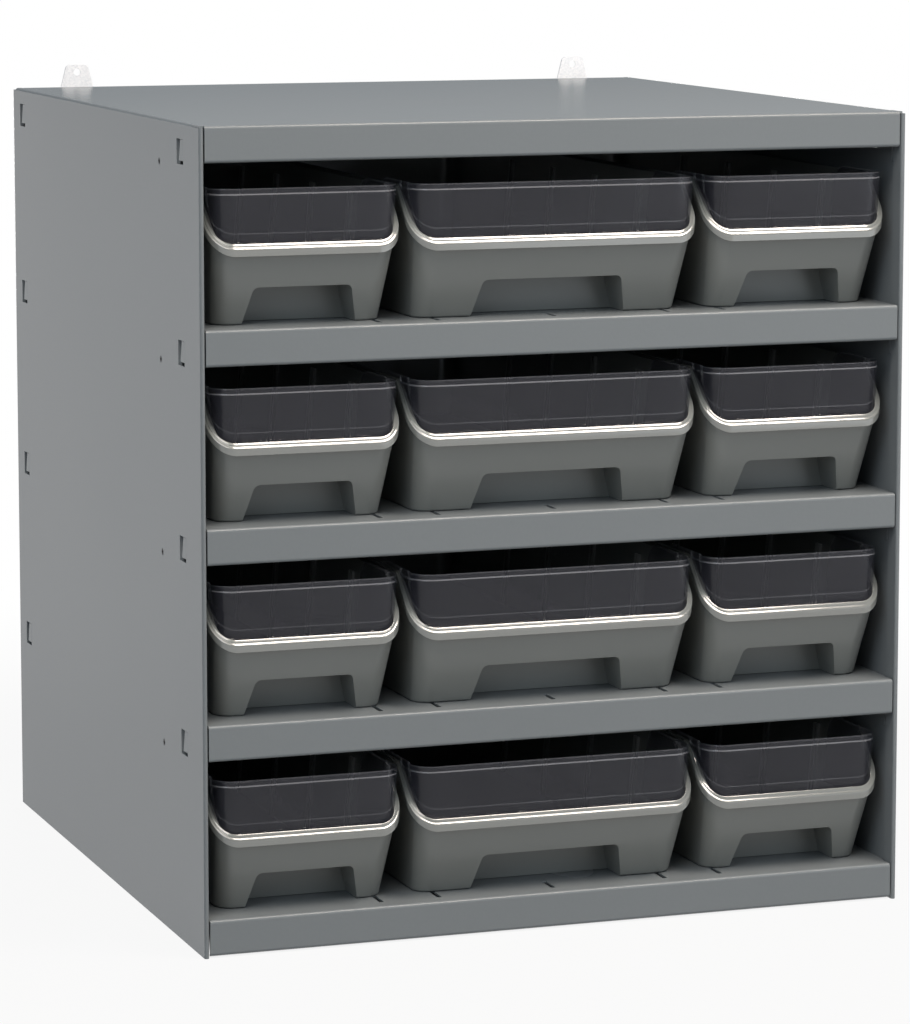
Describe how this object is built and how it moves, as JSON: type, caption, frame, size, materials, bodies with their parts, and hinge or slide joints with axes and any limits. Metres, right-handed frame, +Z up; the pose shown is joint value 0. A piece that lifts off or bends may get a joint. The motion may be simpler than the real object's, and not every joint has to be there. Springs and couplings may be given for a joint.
{
  "type": "bin shelving unit",
  "caption": "Open-front steel cabinet of folded shelves that hold rows of slide-out plastic bins, each with a clear front window and a finger recess; tabs at the top rear hang it on a wall.",
  "frame": {"origin": "on the floor, under the middle of the cabinet's box", "axes": "+Z up, +X to the right as seen from the front, +Y towards the back; the open front faces -Y"},
  "size_m": [0.457, 0.464, 0.516],
  "materials": {
    "grey_enamel": "satin",
    "galvanised_steel": "spangled zinc",
    "black_screw": "black oxide",
    "rivet_aluminium": "satin",
    "bin_plastic": "satin",
    "clear_plastic": "clear"
  },
  "bodies": {
    "cabinet": {"left_side_panel": "grey_enamel", "right_side_panel": "grey_enamel", "top_panel": "grey_enamel", "shelf_1": "grey_enamel", "shelf_2": "grey_enamel", "shelf_3": "grey_enamel", "bottom_shelf": "grey_enamel", "back_panel": "grey_enamel", "left_hanging_tab": "galvanised_steel", "right_hanging_tab": "galvanised_steel", "shelf_screws": "black_screw", "back_rivets": "rivet_aluminium", "tab_rivets": "rivet_aluminium"},
    "bin_r1c1": {"bin_r1c1_tub": "bin_plastic", "bin_r1c1_window": "clear_plastic"},
    "bin_r1c2": {"bin_r1c2_tub": "bin_plastic", "bin_r1c2_window": "clear_plastic"},
    "bin_r1c3": {"bin_r1c3_tub": "bin_plastic", "bin_r1c3_window": "clear_plastic"},
    "bin_r2c1": {"bin_r2c1_tub": "bin_plastic", "bin_r2c1_window": "clear_plastic"},
    "bin_r2c2": {"bin_r2c2_tub": "bin_plastic", "bin_r2c2_window": "clear_plastic"},
    "bin_r2c3": {"bin_r2c3_tub": "bin_plastic", "bin_r2c3_window": "clear_plastic"},
    "bin_r3c1": {"bin_r3c1_tub": "bin_plastic", "bin_r3c1_window": "clear_plastic"},
    "bin_r3c2": {"bin_r3c2_tub": "bin_plastic", "bin_r3c2_window": "clear_plastic"},
    "bin_r3c3": {"bin_r3c3_tub": "bin_plastic", "bin_r3c3_window": "clear_plastic"},
    "bin_r4c1": {"bin_r4c1_tub": "bin_plastic", "bin_r4c1_window": "clear_plastic"},
    "bin_r4c2": {"bin_r4c2_tub": "bin_plastic", "bin_r4c2_window": "clear_plastic"},
    "bin_r4c3": {"bin_r4c3_tub": "bin_plastic", "bin_r4c3_window": "clear_plastic"}
  },
  "joints": [
    {"name": "bin_r1c1_slide", "type": "slide", "parent": "cabinet", "child": "bin_r1c1", "axis": [0, -1, 0], "range_m": [0, 0.45]},
    {"name": "bin_r1c2_slide", "type": "slide", "parent": "cabinet", "child": "bin_r1c2", "axis": [0, -1, 0], "range_m": [0, 0.45]},
    {"name": "bin_r1c3_slide", "type": "slide", "parent": "cabinet", "child": "bin_r1c3", "axis": [0, -1, 0], "range_m": [0, 0.45]},
    {"name": "bin_r2c1_slide", "type": "slide", "parent": "cabinet", "child": "bin_r2c1", "axis": [0, -1, 0], "range_m": [0, 0.45]},
    {"name": "bin_r2c2_slide", "type": "slide", "parent": "cabinet", "child": "bin_r2c2", "axis": [0, -1, 0], "range_m": [0, 0.45]},
    {"name": "bin_r2c3_slide", "type": "slide", "parent": "cabinet", "child": "bin_r2c3", "axis": [0, -1, 0], "range_m": [0, 0.45]},
    {"name": "bin_r3c1_slide", "type": "slide", "parent": "cabinet", "child": "bin_r3c1", "axis": [0, -1, 0], "range_m": [0, 0.45]},
    {"name": "bin_r3c2_slide", "type": "slide", "parent": "cabinet", "child": "bin_r3c2", "axis": [0, -1, 0], "range_m": [0, 0.45]},
    {"name": "bin_r3c3_slide", "type": "slide", "parent": "cabinet", "child": "bin_r3c3", "axis": [0, -1, 0], "range_m": [0, 0.45]},
    {"name": "bin_r4c1_slide", "type": "slide", "parent": "cabinet", "child": "bin_r4c1", "axis": [0, -1, 0], "range_m": [0, 0.45]},
    {"name": "bin_r4c2_slide", "type": "slide", "parent": "cabinet", "child": "bin_r4c2", "axis": [0, -1, 0], "range_m": [0, 0.45]},
    {"name": "bin_r4c3_slide", "type": "slide", "parent": "cabinet", "child": "bin_r4c3", "axis": [0, -1, 0], "range_m": [0, 0.45]}
  ]
}
